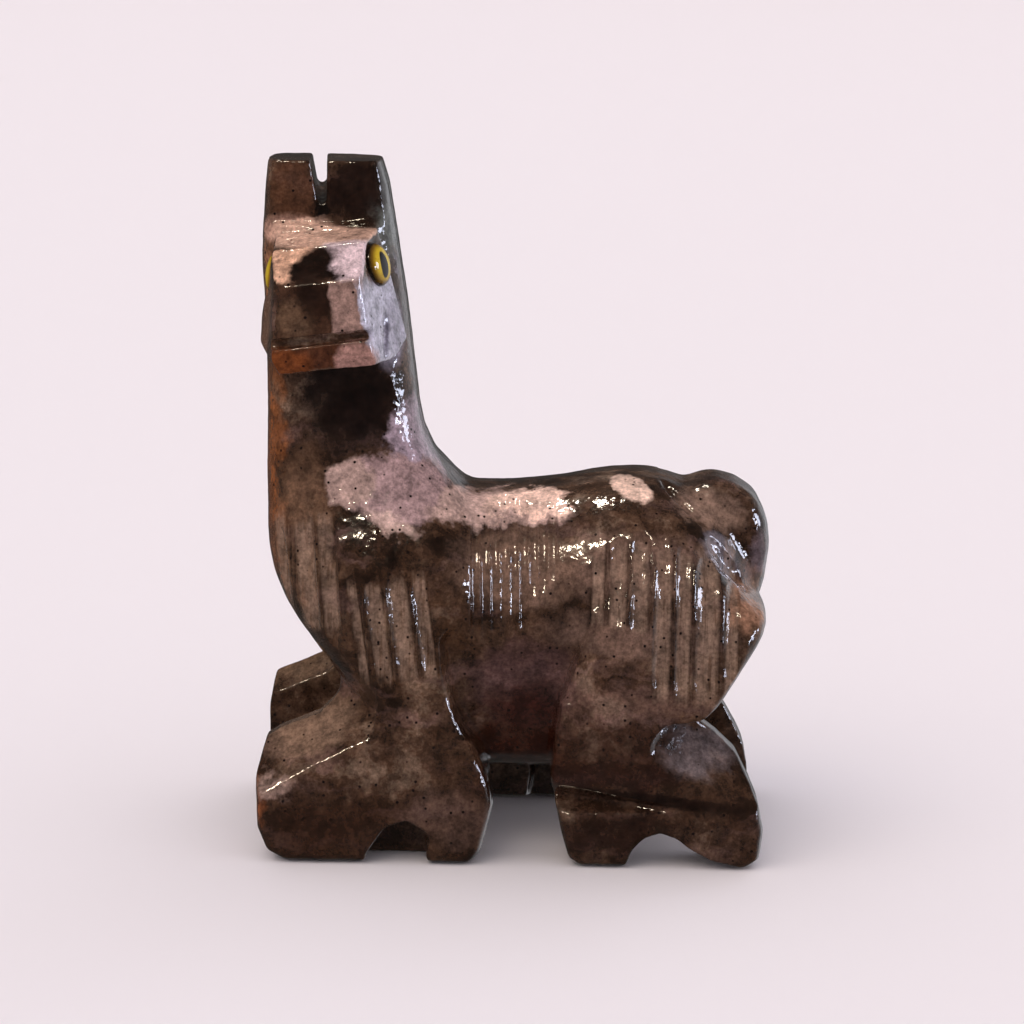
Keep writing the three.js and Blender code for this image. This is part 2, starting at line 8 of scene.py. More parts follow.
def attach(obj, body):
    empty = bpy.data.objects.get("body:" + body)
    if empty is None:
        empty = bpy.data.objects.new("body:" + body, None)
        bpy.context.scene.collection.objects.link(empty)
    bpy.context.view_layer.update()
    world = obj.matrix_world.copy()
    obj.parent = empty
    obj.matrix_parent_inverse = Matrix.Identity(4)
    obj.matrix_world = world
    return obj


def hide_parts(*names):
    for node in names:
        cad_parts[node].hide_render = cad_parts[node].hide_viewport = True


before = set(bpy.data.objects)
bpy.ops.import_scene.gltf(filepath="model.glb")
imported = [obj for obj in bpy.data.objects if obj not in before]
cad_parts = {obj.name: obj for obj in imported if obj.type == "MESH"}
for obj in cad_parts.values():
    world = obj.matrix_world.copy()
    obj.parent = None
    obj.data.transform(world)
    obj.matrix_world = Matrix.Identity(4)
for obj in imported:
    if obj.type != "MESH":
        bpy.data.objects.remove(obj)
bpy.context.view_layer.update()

mm = 0.001


# Small helpers for the way this file works: pick one object, shape it, apply, go on.
def pickOnly(piece):
    bpy.ops.object.select_all(action="DESELECT")
    piece.select_set(True)
    bpy.context.view_layer.objects.active = piece


def applyModifier(piece, kind, **settings):
    pickOnly(piece)
    modifier = piece.modifiers.new(kind.lower(), kind)
    for key, value in settings.items():
        setattr(modifier, key, value)
    bpy.ops.object.modifier_apply(modifier=modifier.name)


def mergeDoubles(piece, distance):
    pickOnly(piece)
    bpy.ops.object.mode_set(mode="EDIT")
    bpy.ops.mesh.select_all(action="SELECT")
    bpy.ops.mesh.remove_doubles(threshold=distance)
    bpy.ops.mesh.normals_make_consistent(inside=False)
    bpy.ops.object.mode_set(mode="OBJECT")


def settle(piece, factor=1.0):
    pickOnly(piece)
    piece.scale = [factor * side for side in piece.scale]
    bpy.ops.object.transform_apply(location=True, rotation=True, scale=True)


# A cutter or a filling is used up by the cut that it makes.
def combine(piece, tool, operation):
    applyModifier(piece, "BOOLEAN", operation=operation, object=tool, solver="MANIFOLD")
    bpy.data.objects.remove(tool)


# The stone. Lengths are in mm until the mesh is finished.
stoneShape = {
    "weld": 0.001,          # closes the seams between the CAD's faces
    "roughVoxel": 0.15,
    "edgePasses": 10,       # takes the saw's sharp edges off
    "fleecePasses": 110,    # where files have gone over the flanks
    "fleeceReach": 1.6,
    "rubbedPasses": 60,     # spots that hands have rubbed round
    "fineVoxel": 0.12,
    "polishPasses": 1,
    "smoothing": 0.5,       # how far one pass draws a point towards its neighbours
    "triangleLimit": 190000,
}

# File cuts by group. Each is its ends in X and Z on the left side, its width and its depth.
ribTops = (0.0, 0.3, 0.7, 0.9, 0.8, 0.7, 0.5, 0.3, 0.0)
ribFeet = (15.6, 15.2, 15.7, 15.8, 16.3, 16.3, 19.2, 19.5, 20.3)
fluteGroups = {
    "chest": [
        (-16.9, 23.6, -16.2, 17.6, 1.2, 0.28), (-15.2, 25.4, -14.3, 16.2, 1.9, 0.45),
        (-13.45, 25.0, -12.8, 15.2, 1.5, 0.42)],
    "shoulder": [
        (-11.3, 19.4, -10.7, 13.6, 0.9, 0.36), (-10.1, 20.9, -9.0, 13.0, 1.5, 0.5),
        (-8.5, 21.6, -7.2, 13.0, 1.75, 0.55), (-6.9, 21.0, -5.7, 13.8, 1.25, 0.45)],
    "ribs": [
        (-2.86 + i * 0.69, 24.9 + top, -2.70 + i * 0.68, foot, 0.62, 0.24)
        for i, (top, foot) in enumerate(zip(ribTops, ribFeet))],
    "haunch": [
        (5.95, 22.4, 5.9, 18.6, 1.1, 0.3), (7.4, 23.7, 7.3, 17.6, 1.5, 0.44),
        (8.95, 24.2, 8.85, 17.2, 1.6, 0.46), (10.5, 24.4, 10.5, 12.3, 1.5, 0.42),
        (11.95, 23.8, 12.0, 11.8, 1.3, 0.4), (13.7, 22.7, 13.7, 12.2, 2.1, 0.48),
        (15.5, 20.7, 15.3, 13.8, 1.2, 0.3)],
    "tail": [
        (10.5, 26.9, 14.0, 23.9, 0.9, 0.3), (14.0, 26.1, 16.9, 23.9, 0.8, 0.26),
        (13.8, 23.4, 16.3, 20.0, 1.5, 0.4)],
}
fluteRuns = [run for group in fluteGroups.values() for run in group]

# How a flute is cut: a round file lifts out of the stone towards both ends of its stroke.
fluteCut = {
    "steps": 12,
    "roundness": 5,
    "weld": 0.0005,
    "liftFrom": 0.6,        # share of the half stroke after which the file lifts
    "liftHeight": 0.08,     # how far it ends above the surface, in mm
    "handSpread": 0.12,     # by what share the depths differ
}

# The crease that sets off the lobe of the left cheek.
cheekCrease = {"side": -1, "ends": (-9.3, 39.4, -9.2, 36.2), "radius": 0.42, "deep": 0.26}

# Saw cuts keep their sharp sides: the slot of the ears, the mouth and the cut across the shank.
sawCuts = [((-14.2, 0.0, 48.2), (1.3, 9.0, 2.4)), ((-13.8, -10.6, 37.4), (4.4, 1.6, 0.9)),
           ((8.2, -10.9, 4.8), (6.6, 1.6, 1.0))]

# The head and the ears keep crisper edges than the legs, which have been rubbed round.
edgeWear = {"head": 0.5, "legs": 1.0, "headFrom": 35.0, "legsTo": 22.0}

# Spots rubbed round: the hock, the crease behind the shoulder and the back corner of the neck.
rubbedSpots = [((13.4, -10.0, 7.0), 3.6), ((-3.6, -9.5, 16.5), 3.0), ((-3.6, -9.0, 21.0), 2.6),
               ((-6.0, -4.4, 30.0), 3.4), ((-6.8, -4.2, 35.0), 2.6), ((14.8, -9.6, 18.6), 2.2)]


def cadCopy(node, name):
    piece = bpy.data.objects.new(name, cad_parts[node].data.copy())
    bpy.context.scene.collection.objects.link(piece)
    settle(piece, 1 / mm)
    mergeDoubles(piece, stoneShape["weld"])
    return piece


# Wear of the fleece: full within its reach of a flute, gone at twice that.
def fleeceWeight(place):
    gaps = []
    for x0, z0, x1, z1, _, _ in fluteRuns:
        along = ((place.x - x0) * (x1 - x0) + (place.z - z0) * (z1 - z0)) / ((x1 - x0) ** 2 + (z1 - z0) ** 2)
        along = min(1.0, max(0.0, along))
        gaps.append(math.hypot(place.x - x0 - along * (x1 - x0), place.z - z0 - along * (z1 - z0)))
    return max(0.0, min(1.0, 2.0 - min(gaps) / stoneShape["fleeceReach"]))


def edgeWeight(place):
    for centre, reach in sawCuts:
        if all(abs(place[i] - centre[i]) < reach[i] for i in range(3)):
            return 0.0
    rise = (place.z - edgeWear["legsTo"]) / (edgeWear["headFrom"] - edgeWear["legsTo"])
    return edgeWear["legs"] + (edgeWear["head"] - edgeWear["legs"]) * min(1.0, max(0.0, rise))


# Full wear in the middle of a spot, gone a quarter beyond its reach.
def rubbedWeight(place):
    nearest = min((place - Vector(centre)).length / reach for centre, reach in rubbedSpots)
    return min(1.0, max(0.0, 2.0 - 1.6 * nearest))


def softenWhere(stone, weightOf, passes):
    group = stone.vertex_groups.new(name="worn")
    weights = {}
    for vertex in stone.data.vertices:
        weights.setdefault(round(weightOf(vertex.co), 1), []).append(vertex.index)
    for weight, indices in weights.items():
        group.add(indices, weight, "REPLACE")
    applyModifier(stone, "SMOOTH", factor=stoneShape["smoothing"], iterations=passes, vertex_group="worn")
    stone.vertex_groups.clear()


# The points of one stroke, laid on the surface from its side of the block.
def strokePoints(surface, run):
    points = []
    x0, z0, x1, z1 = run["ends"]
    for i in range(fluteCut["steps"] + 1):
        t = i / fluteCut["steps"]
        start = Vector((x0 + (x1 - x0) * t, run["side"] * 30, z0 + (z1 - z0) * t))
        hit, normal, _, _ = surface.ray_cast(start, Vector((0, -run["side"], 0)))
        if hit is not None:
            rise = max(0.0, abs(2 * t - 1) - fluteCut["liftFrom"]) / (1 - fluteCut["liftFrom"])
            lift = run["radius"] - run["deep"] + (run["deep"] + fluteCut["liftHeight"]) * rise ** 2
            points.append(hit + normal * lift)
    return points


# A tube laid into the surface along each stroke.
def tubeCutter(surface, runs):
    bpy.ops.curve.primitive_bezier_curve_add()
    cutter = bpy.context.object
    curve = cutter.data
    curve.splines.clear()
    curve.dimensions = "3D"
    curve.bevel_depth = 1.0
    curve.bevel_resolution = fluteCut["roundness"]
    curve.use_fill_caps = True
    for run in runs:
        points = strokePoints(surface, run)
        if len(points) > 3:
            spline = curve.splines.new("NURBS")
            spline.points.add(len(points) - 1)
            for point, place in zip(spline.points, points):
                point.co = (*place, 1)
                point.radius = run["radius"]
            spline.order_u = 4
            spline.use_endpoint_u = True
            spline.resolution_u = 3
    pickOnly(cutter)
    bpy.ops.object.convert(target="MESH")
    mergeDoubles(bpy.context.object, fluteCut["weld"])
    return bpy.context.object


# Neighbours are cut in turn, so that the ridge between two flutes stays sharp.
def cutFlutes(stone):
    surface = BVHTree.FromObject(stone, bpy.context.evaluated_depsgraph_get())
    runs = [cheekCrease]
    for side in (-1, 1):
        for i, (x0, z0, x1, z1, wide, deep) in enumerate(fluteRuns):
            deep *= 1 + fluteCut["handSpread"] * math.sin(5.0 * i + side)
            radius = (wide ** 2 / 4 + deep ** 2) / (2 * deep)
            runs.append({"side": side, "ends": (x0, z0, x1, z1), "radius": radius, "deep": deep})
    combine(stone, tubeCutter(surface, runs[0::2]), "DIFFERENCE")
    combine(stone, tubeCutter(surface, runs[1::2]), "DIFFERENCE")


# Eyes: where each bead sits and which way it looks, in mm. The sockets are filled up to the bead.
eyeShape = {
    "radius": 1.55, "dome": 0.72, "domeInset": 0.02, "seat": 0.75, "seatBevel": 0.06, "sides": 96,
    "socket": 1.84, "socketDepth": 1.1, "socketSides": 48,
}
eyePlaces = {
    "eyeLeft": {
        "node": "eye_left", "centre": (-10.019, -6.848, 42.638), "outward": (0.8935, -0.3619, 0.2658)},
    "eyeRight": {
        "node": "eye_right", "centre": (-17.231, -5.446, 41.789), "outward": (-0.9908, -0.0209, 0.1334)},
}


# The axes of something that looks outward: across, upward and outward.
def axesFor(outward):
    forward = Vector(outward)
    across = Vector((0, 0, 1)).cross(forward).normalized()
    upward = forward.cross(across)
    return Matrix((across, upward, forward)).transposed().to_4x4()


def cylinderBelow(radius, depth, sides):
    bpy.ops.mesh.primitive_cylinder_add(
        vertices=sides, radius=radius, depth=depth, location=(0, 0, -depth / 2))
    settle(bpy.context.object)
    return bpy.context.object


def moveToEye(piece, spot):
    piece.matrix_world = Matrix.Translation(Vector(spot["centre"])) @ axesFor(spot["outward"])
    settle(piece)


def fillSocket(stone, spot):
    filling = cylinderBelow(eyeShape["socket"], eyeShape["socketDepth"], eyeShape["socketSides"])
    moveToEye(filling, spot)
    combine(stone, filling, "UNION")


# Hand work leaves the surface slightly uneven. Both layers only go inwards.
unevenLayers = {"filing": {"size": 2.6, "depth": 0.09}, "grinding": {"size": 0.7, "depth": 0.035}}


def roughen(stone):
    for name, layer in unevenLayers.items():
        texture = bpy.data.textures.new(name, "CLOUDS")
        texture.noise_scale = layer["size"]
        texture.noise_depth = 2
        applyModifier(stone, "DISPLACE", texture=texture, texture_coords="LOCAL",
                      strength=layer["depth"], mid_level=1.0)


def carveStone():
    stone = cadCopy("llama_stone", "carvedLlama")
    for spot in eyePlaces.values():
        fillSocket(stone, spot)
    applyModifier(stone, "REMESH", mode="VOXEL", voxel_size=stoneShape["roughVoxel"])
    softenWhere(stone, edgeWeight, stoneShape["edgePasses"])
    softenWhere(stone, fleeceWeight, stoneShape["fleecePasses"])
    softenWhere(stone, rubbedWeight, stoneShape["rubbedPasses"])
    print("stone: sawn block worn")
    cutFlutes(stone)
    applyModifier(stone, "REMESH", mode="VOXEL", voxel_size=stoneShape["fineVoxel"])
    applyModifier(stone, "SMOOTH", factor=stoneShape["smoothing"], iterations=stoneShape["polishPasses"])
    roughen(stone)
    triangles = 2 * len(stone.data.polygons)
    print("stone: triangles before thinning", triangles)
    if triangles > stoneShape["triangleLimit"]:
        applyModifier(stone, "DECIMATE", ratio=stoneShape["triangleLimit"] / triangles)
    settle(stone, mm)
    pickOnly(stone)
    bpy.ops.object.shade_smooth()
    return stone


# Colours and nodes.
def linear(hexColour):
    channels = [int(hexColour[i:i + 2], 16) / 255 for i in (1, 3, 5)]
    return [c / 12.92 if c <= 0.04045 else ((c + 0.055) / 1.055) ** 2.4 for c in channels] + [1.0]


def addNode(tree, kind, sockets=None, **settings):
    node = tree.nodes.new(kind)
    for key, value in settings.items():
        setattr(node, key, value)
    for key, value in (sockets or {}).items():
        if isinstance(value, bpy.types.NodeSocket):
            tree.links.new(value, node.inputs[key])
        else:
            node.inputs[key].default_value = value
    return node


def newMaterial(name, finish):
    material = bpy.data.materials.new(name)
    material.use_nodes = True
    shader = material.node_tree.nodes["Principled BSDF"]
    for key, value in finish.items():
        shader.inputs[key].default_value = value
    return material, material.node_tree, shader


def colourRamp(tree, factor, stops):
    node = addNode(tree, "ShaderNodeValToRGB", {"Fac": factor})
    ramp = node.color_ramp
    while len(ramp.elements) < len(stops):
        ramp.elements.new(0.5)
    for element, (place, colour) in zip(ramp.elements, stops):
        element.position = place
        element.color = linear(colour)
    return node.outputs["Color"]


def levelRamp(tree, factor, low, high, top=1.0):
    node = addNode(tree, "ShaderNodeMapRange", {
        "Value": factor, "From Min": low, "From Max": high, "To Max": top}, interpolation_type="SMOOTHSTEP")
    return node.outputs["Result"]


def mathNode(tree, operation, first, second):
    node = addNode(tree, "ShaderNodeMath", {0: first, 1: second}, operation=operation)
    return node.outputs["Value"]


def vectorNode(tree, operation, first, second):
    node = addNode(tree, "ShaderNodeVectorMath", {0: first, 1: second}, operation=operation)
    return node.outputs["Vector"]


def scaledBy(tree, vector, factor):
    node = addNode(tree, "ShaderNodeVectorMath", {0: vector, "Scale": factor}, operation="SCALE")
    return node.outputs["Vector"]


def lengthOf(tree, vector):
    return addNode(tree, "ShaderNodeVectorMath", {0: vector}, operation="LENGTH").outputs["Value"]


def noiseAt(tree, vector, scale, detail=2.0, roughness=0.5):
    return addNode(tree, "ShaderNodeTexNoise", {
        "Vector": vector, "Scale": scale, "Detail": detail, "Roughness": roughness})


def mixColour(tree, factor, first, second):
    node = addNode(tree, "ShaderNodeMix", {"Factor": factor, 6: first, 7: second}, data_type="RGBA")
    return node.outputs[2]


# The same place pushed about by noise, so that what is drawn there has an edge that wanders.
def wanderingFrom(tree, place, drift):
    push = noiseAt(tree, place, drift["scale"], drift["detail"], 0.6).outputs["Color"]
    centred = vectorNode(tree, "SUBTRACT", push, (0.5, 0.5, 0.5))
    return vectorNode(tree, "ADD", place, scaledBy(tree, centred, drift["reach"]))


# Which way the flat facets of the head look, and how far its markings lean from the level, in degrees.
headFacets = {
    "top": (-0.155, -0.206, 0.966), "forehead": (-0.164, -0.709, 0.686), "front": (-0.11, -0.989, 0.096),
    "jaw": (-0.098, -0.995, 0.0), "cheek": (0.92, -0.33, 0.21)}
facetLean = 7.8


# One marking of the stone: an ellipsoid in mm, soft at its edge. One with a facet is a thin block that
# lies in that flat facet and stops at its arrises.
def markingMask(tree, place, marking):
    soft = marking.get("soft", 0.35)
    turn = Matrix.Rotation(math.radians(marking.get("turn", 0)), 4, "Y")
    if "facet" in marking:
        lean = Matrix.Rotation(math.radians(facetLean), 4, "Z")
        turn = axesFor(headFacets[marking["facet"]]) @ lean
    local = addNode(tree, "ShaderNodeMapping", {
        "Vector": place, "Location": marking["at"], "Scale": marking["reach"],
        "Rotation": turn.to_euler()}, vector_type="TEXTURE").outputs["Vector"]
    if "facet" in marking or "filed" in marking:
        size = addNode(tree, "ShaderNodeVectorMath", {0: local}, operation="ABSOLUTE")
        apart = addNode(tree, "ShaderNodeSeparateXYZ", {"Vector": size.outputs["Vector"]})
        wide = mathNode(tree, "MAXIMUM", apart.outputs["X"], apart.outputs["Y"])
        length = mathNode(tree, "MAXIMUM", wide, apart.outputs["Z"])
    else:
        length = lengthOf(tree, local)
    return levelRamp(tree, length, 1 + soft, 1 - soft, marking.get("part", 1.0))


# Painted light and shade in the broad flutes: a paler band painted as light on each flute's floor, between
# two dark lines painted as shade at its edges. One ramp across X serves a group of flutes, straightened by
# their lean.
fluteShading = {
    "dark": "#1d120c", "pale": "#7f6a5a",
    "stops": ((-0.44, "dark"), (-0.3, "pale"), (0.26, "pale"), (0.4, "dark")),    # in widths of the flute
    "soft": 0.16, "tall": 0.95,
}


def paintFluteShading(tree, place, edgePlace, colour, strength):
    apart = addNode(tree, "ShaderNodeSeparateXYZ", {"Vector": place})
    haunch = fluteGroups["haunch"]
    for runs in (fluteGroups["chest"], fluteGroups["shoulder"], haunch[:3], haunch[3:]):
        lean = sum((x1 - x0) / (z1 - z0) for x0, z0, x1, z1, _, _ in runs) / len(runs)
        middle = sum(z0 + z1 for _, z0, _, z1, _, _ in runs) / 2 / len(runs)
        tall = sum(z0 - z1 for _, z0, _, z1, _, _ in runs) / 2 / len(runs)
        centres = [x0 + (x1 - x0) * (middle - z0) / (z1 - z0) for x0, z0, x1, z1, _, _ in runs]
        widths = [run[4] for run in runs]
        left = centres[0] - widths[0] * 0.5
        right = centres[-1] + widths[-1] * 0.5
        drop = mathNode(tree, "SUBTRACT", apart.outputs["Z"], middle)
        straight = mathNode(tree, "SUBTRACT", apart.outputs["X"], mathNode(tree, "MULTIPLY", drop, lean))
        across = addNode(tree, "ShaderNodeMapRange", {"Value": straight, "From Min": left, "From Max": right})
        stops = sorted(((centre + share * width - left) / (right - left), fluteShading[tint])
                       for centre, width in zip(centres, widths) for share, tint in fluteShading["stops"])
        paintedFluteShade = colourRamp(tree, across.outputs["Result"], stops)
        area = markingMask(tree, edgePlace, {
            "at": ((left + right) / 2, 0.0, middle),
            "reach": ((right - left) / 2, 30.0, tall * fluteShading["tall"]),
            "turn": math.degrees(math.atan(lean)), "soft": fluteShading["soft"], "filed": True})
        colour = mixColour(tree, mathNode(tree, "MULTIPLY", area, strength), colour, paintedFluteShade)
    return colour


# Markings seen in the stone, from the broad veils to the small patches laid over them; some are painted shade
# low on the legs and in recesses, cuts and creases, and some painted light or sheen where faces catch the
# lamps. Each is where it lies and how far it reaches in mm, its turn in the side view, and what part of the
# ground it covers.
markings = {
    "legShade": {"at": (0.0, 0.0, 2.5), "reach": (40.0, 40.0, 5.0), "colour": "#2b1c13", "part": 0.5,
                 "soft": 0.5},
    "neckShade": {"at": (-12.0, -4.0, 33.0), "reach": (3.8, 8.0, 4.2), "colour": "#120907", "part": 0.9},
    "chestEdge": {"at": (-17.8, -4.0, 24.0), "reach": (1.1, 8.0, 11.0), "colour": "#7a4928", "part": 0.9},
    "chestTaupe": {"at": (-15.4, -8.0, 23.0), "reach": (2.2, 6.0, 6.0), "colour": "#6a503d", "part": 0.7},
    "shoulderShade": {"at": (-7.0, -9.0, 17.0), "reach": (4.0, 5.0, 4.0), "colour": "#46301f",
                      "part": 0.35},
    "neckPatch": {"at": (-7.1, -4.6, 29.4), "reach": (1.9, 5.0, 3.5), "turn": -12, "colour": "#978790",
                  "soft": 0.15},
    "withersPatch": {"at": (-8.2, -6.6, 26.7), "reach": (3.9, 5.0, 2.3), "colour": "#987f7d", "soft": 0.14},
    "withersLobe": {"at": (-11.7, -7.0, 27.0), "reach": (1.9, 4.0, 1.7), "colour": "#a38a80", "soft": 0.2},
    "withersLow": {"at": (-8.8, -8.0, 24.4), "reach": (1.9, 3.0, 0.6), "turn": 20, "colour": "#bca195",
                   "part": 0.8},
    "backPatch": {"at": (-1.6, -5.2, 25.2), "reach": (5.4, 4.2, 1.25), "colour": "#b0958a", "soft": 0.2},
    "backPeach": {"at": (0.9, -5.0, 25.4), "reach": (3.2, 4.0, 0.8), "colour": "#edcab6", "soft": 0.2},
    "rumpOval": {"at": (8.1, -4.2, 26.6), "reach": (1.9, 3.0, 0.68), "turn": 22, "colour": "#debfab",
                 "soft": 0.12, "steady": True},
    "bellyLilac": {"at": (1.0, -8.0, 13.0), "reach": (4.0, 5.0, 3.0), "colour": "#5f4644", "part": 0.5},
    "bellyShade": {"at": (0.8, -7.0, 8.4), "reach": (3.2, 7.0, 4.4), "colour": "#2c0f07", "part": 0.85},
    "haunchTaupe": {"at": (9.0, -10.0, 17.0), "reach": (6.4, 4.0, 1.7), "colour": "#6b5549", "part": 0.7},
    "haunchPink": {"at": (8.6, -10.0, 12.4), "reach": (5.2, 4.0, 1.2), "colour": "#745a50", "part": 0.35},
    "haunchEdge": {"at": (16.6, -8.5, 19.0), "reach": (1.8, 5.0, 1.3), "colour": "#8f6b55", "part": 0.9},
    "tailLilac": {"at": (17.9, -3.0, 21.6), "reach": (0.9, 4.0, 1.4), "colour": "#73666d", "part": 0.5},
    # Painted reflection: bluish grey on the leaf facet under the tail, where it mirrors the side window.
    "tailLeafReflection": {"at": (15.0, -6.4, 21.7), "reach": (1.9, 1.6, 1.9), "colour": "#8f8a94", "part": 0.6},
    "tailTop": {"at": (14.2, -5.0, 25.2), "reach": (2.8, 3.0, 1.4), "turn": 25, "colour": "#80695a",
                "part": 0.8},
    "ribsTaupe": {"at": (0.2, -8.6, 21.4), "reach": (4.2, 4.0, 2.8), "colour": "#866c5c", "part": 0.5},
    "haunchTop": {"at": (8.6, -9.0, 21.6), "reach": (4.4, 4.0, 2.4), "colour": "#846a5c", "part": 0.55},
    # Painted sheen: grey over the rounded top of the hock, where it catches the side light.
    "hockSheen": {"at": (13.4, -9.0, 8.4), "reach": (2.8, 3.0, 1.7), "colour": "#7a7275", "part": 0.5},
    # Painted light: the near knee's top is paler because its upper face is lit from above.
    "kneeTopLit": {"at": (-14.6, -8.0, 9.4), "reach": (3.4, 4.0, 2.0), "turn": -25, "colour": "#7d6552",
                "part": 0.8},
    "kneeBeige": {"at": (-17.0, -9.8, 5.6), "reach": (1.6, 2.0, 0.9), "colour": "#9a8275", "part": 0.7},
    "kneeCorner": {"at": (-18.6, -8.0, 3.2), "reach": (0.9, 5.0, 3.0), "colour": "#6d4026", "part": 0.9},
    # Painted light: the far knee's top is paler because its upper face is lit from above.
    "farKneeTopLit": {"at": (-16.0, 8.0, 10.6), "reach": (4.0, 4.0, 2.0), "colour": "#6a5542", "part": 0.8},
    "footTaupe": {"at": (-4.2, -10.5, 3.6), "reach": (3.2, 3.0, 2.0), "colour": "#665045", "part": 0.35},
    "footDark": {"at": (-12.8, -10.8, 2.6), "reach": (4.4, 3.0, 2.0), "colour": "#2f1c12", "part": 0.55},
    "thighDark": {"at": (7.6, -10.8, 9.2), "reach": (5.5, 3.0, 1.6), "colour": "#2b1911", "part": 0.7},
    "shankLow": {"at": (8.0, -11.0, 2.6), "reach": (4.6, 3.0, 1.8), "colour": "#1a0c07", "part": 0.75},
    "shankShade": {"at": (7.0, -11.0, 6.8), "reach": (5.0, 3.0, 1.2), "colour": "#24130d", "part": 0.8},
    # Painted shade: a dark band down in the saw cut across the shank.
    "shankCutShade": {"at": (9.9, -10.9, 5.2), "reach": (6.3, 2.0, 0.5), "turn": 5.6, "colour": "#120805",
                 "part": 0.85, "steady": True},
    # Painted sheen: grey along the back corner of the neck, where it catches the side light.
    "neckBackSheen": {"at": (-5.2, -1.0, 36.0), "reach": (1.8, 6.0, 8.0), "turn": -8, "colour": "#77767c",
                 "part": 0.5},
    "earSide": {"at": (-9.2, -1.0, 46.4), "reach": (1.3, 5.0, 4.0), "colour": "#5c625e", "part": 0.9},
    "earDark": {"at": (-11.6, -3.0, 47.4), "reach": (2.1, 3.0, 2.6), "colour": "#180d09", "part": 0.9},
    "earLight": {"at": (-16.2, -3.0, 47.4), "reach": (1.6, 3.0, 2.6), "colour": "#503524", "part": 0.8},
    # Painted shade: near black down in the slot between the ears.
    "earSlotShade": {"at": (-14.1, -2.4, 46.2), "reach": (0.8, 3.0, 1.6), "colour": "#0d0705", "part": 0.95},
    "cheekOrange": {"at": (-18.2, -6.0, 40.0), "reach": (1.0, 4.0, 5.4), "colour": "#7d573f", "soft": 0.15},
    "headBack": {"at": (-16.4, -3.4, 44.6), "reach": (2.2, 1.6, 1.0), "colour": "#a5816f", "part": 0.9},
    "headTop": {"at": (-13.9, -6.2, 44.6), "reach": (4.4, 2.2, 0.5), "facet": "top", "colour": "#c09d88",
                "soft": 0.2},
    "foreheadPink": {"at": (-16.2, -9.0, 42.9), "reach": (1.6, 2.2, 0.5), "facet": "forehead",
                     "colour": "#d0a588", "soft": 0.2},
    # Lilac-grey stone on the right of the forehead, brightened further by a painted sheen.
    "foreheadGreySheen": {"at": (-11.9, -9.2, 43.1), "reach": (1.9, 2.0, 0.5), "facet": "forehead",
                     "colour": "#c9b4b6", "soft": 0.2},
    "foreheadBlack": {"at": (-14.35, -9.5, 42.0), "reach": (2.0, 1.6, 1.2), "turn": -4,
                      "colour": "#140905", "soft": 0.25, "steady": False},
    "foreheadStreak": {"at": (-14.3, -9.0, 42.9), "reach": (1.0, 1.6, 1.9), "turn": 42,
                       "colour": "#190d08", "soft": 0.3},
    "muzzleDark": {"at": (-15.2, -10.4, 39.6), "reach": (2.3, 2.2, 0.5), "facet": "front",
                   "colour": "#3a271c", "soft": 0.1},
    "muzzleMottle": {"at": (-15.6, -10.4, 39.2), "reach": (1.4, 1.4, 1.3), "colour": "#5f4937",
                     "part": 0.75},
    "muzzleBlack": {"at": (-14.3, -10.4, 40.8), "reach": (1.5, 1.4, 1.7), "turn": 15, "colour": "#1c0f09",
                    "part": 0.85, "steady": False},
    "muzzlePink": {"at": (-11.6, -10.7, 39.9), "reach": (1.45, 2.1, 0.7), "facet": "front",
                   "colour": "#886e64", "soft": 0.1},
    "cheekLilac": {"at": (-9.13, -7.33, 38.68), "reach": (4.4, 3.3, 0.4), "facet": "cheek",
                   "colour": "#afafbf", "soft": 0.25},
    "lobeLilac": {"at": (-9.0, -5.2, 37.8), "reach": (1.2, 2.4, 2.8), "colour": "#9896a6", "soft": 0.3},
    # Painted shade: a dark grey-violet line in the crease behind the cheek.
    "cheekFoldShade": {"at": (-9.25, -6.6, 37.7), "reach": (0.2, 2.0, 1.5), "turn": -3, "colour": "#55525f",
                  "part": 0.85, "soft": 0.5},
    "jawDark": {"at": (-14.0, -10.6, 36.6), "reach": (3.6, 0.9, 0.6), "facet": "jaw", "colour": "#46291a",
                "soft": 0.15},
    "jawPink": {"at": (-11.2, -10.4, 36.3), "reach": (1.5, 2.0, 1.4), "colour": "#957268", "soft": 0.2},
    "jawOrange": {"at": (-16.2, -10.0, 36.0), "reach": (1.9, 2.0, 1.0), "colour": "#64361a", "part": 0.95},
    "farNeckPatch": {"at": (-9.6, 7.0, 31.0), "reach": (3.0, 3.6, 2.6), "turn": 15, "colour": "#8f7c82",
                     "part": 0.9},
    "farHaunchPatch": {"at": (8.0, 9.6, 20.0), "reach": (4.2, 3.0, 1.8), "turn": -10, "colour": "#a98a7d",
                       "part": 0.9},
    "farShoulder": {"at": (-7.0, 9.6, 16.0), "reach": (3.0, 3.0, 3.4), "colour": "#6b5549", "part": 0.7},
}
steadyFrom = (-3.2, 35.5)   # in front of this Y and above this Z, markings keep crisp edges: the head

